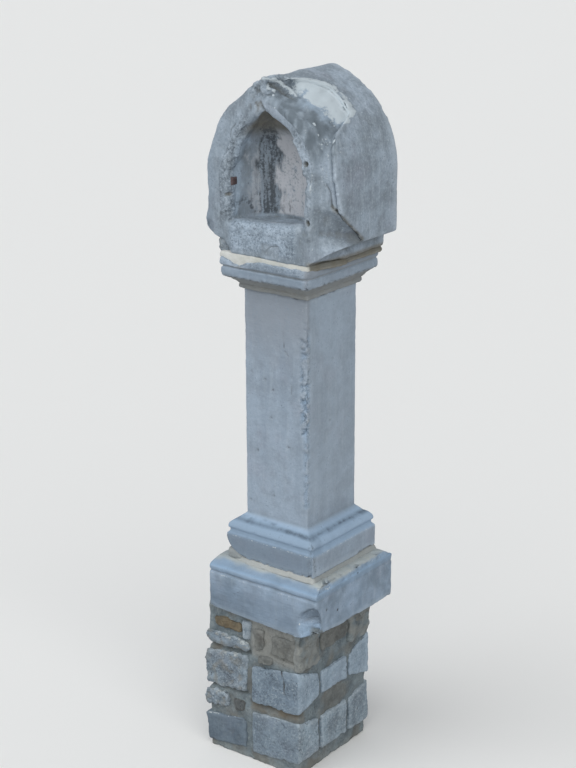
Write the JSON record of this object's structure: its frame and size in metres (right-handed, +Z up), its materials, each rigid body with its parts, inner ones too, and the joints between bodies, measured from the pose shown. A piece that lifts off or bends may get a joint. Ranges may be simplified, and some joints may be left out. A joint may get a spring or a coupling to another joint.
{
  "type": "wayside shrine",
  "caption": "Stone wayside shrine: a square moulded pillar with a round-headed niche stone, on a small rubble plinth.",
  "frame": {"origin": "on the ground under the middle of the shaft", "axes": "+X along the front to the right, +Y from the niche's front to the back, +Z up"},
  "size_m": [0.5, 0.44, 2.35],
  "materials": {
    "dressed_stone": "weathered, dressed",
    "plinth_stone": "weathered, rough",
    "dark_blue_stone": "weathered",
    "ochre_stone": "rough",
    "brown_rubble": "rough",
    "lime_mortar": "rough, pale",
    "earth_mortar": "rough",
    "rusty_iron": "rusted"
  },
  "bodies": {
    "root": {"back_footing_block": "dark_blue_stone", "back_high_quoin": "plinth_stone", "back_long_stone": "plinth_stone", "back_low_quoin": "plinth_stone", "back_ochre_stone": "ochre_stone", "back_pinning_stone": "brown_rubble", "back_rough_block": "plinth_stone", "back_rubble_block": "brown_rubble", "back_rubble_end": "brown_rubble", "back_rubble_low": "brown_rubble", "back_small_block": "plinth_stone", "back_upright_stone": "plinth_stone", "base_bed": "lime_mortar", "capital": "dressed_stone", "front_footing_block": "dark_blue_stone", "front_high_quoin": "plinth_stone", "front_long_stone": "plinth_stone", "front_low_quoin": "plinth_stone", "front_ochre_stone": "ochre_stone", "front_pinning_stone": "brown_rubble", "front_rough_block": "plinth_stone", "front_rubble_block": "brown_rubble", "front_rubble_end": "brown_rubble", "front_rubble_low": "brown_rubble", "front_small_block": "plinth_stone", "front_upright_stone": "plinth_stone", "head_bed": "lime_mortar", "iron_plug": "rusty_iron", "left_footing_block": "dark_blue_stone", "left_ochre_stone": "ochre_stone", "left_rough_block": "plinth_stone", "left_small_block": "plinth_stone", "lower_block": "dressed_stone", "niche_head": "dressed_stone", "plinth_mortar": "earth_mortar", "right_high_quoin": "plinth_stone", "right_low_quoin": "plinth_stone", "right_rubble_block": "brown_rubble", "shaft": "dressed_stone"}
  },
  "joints": []
}
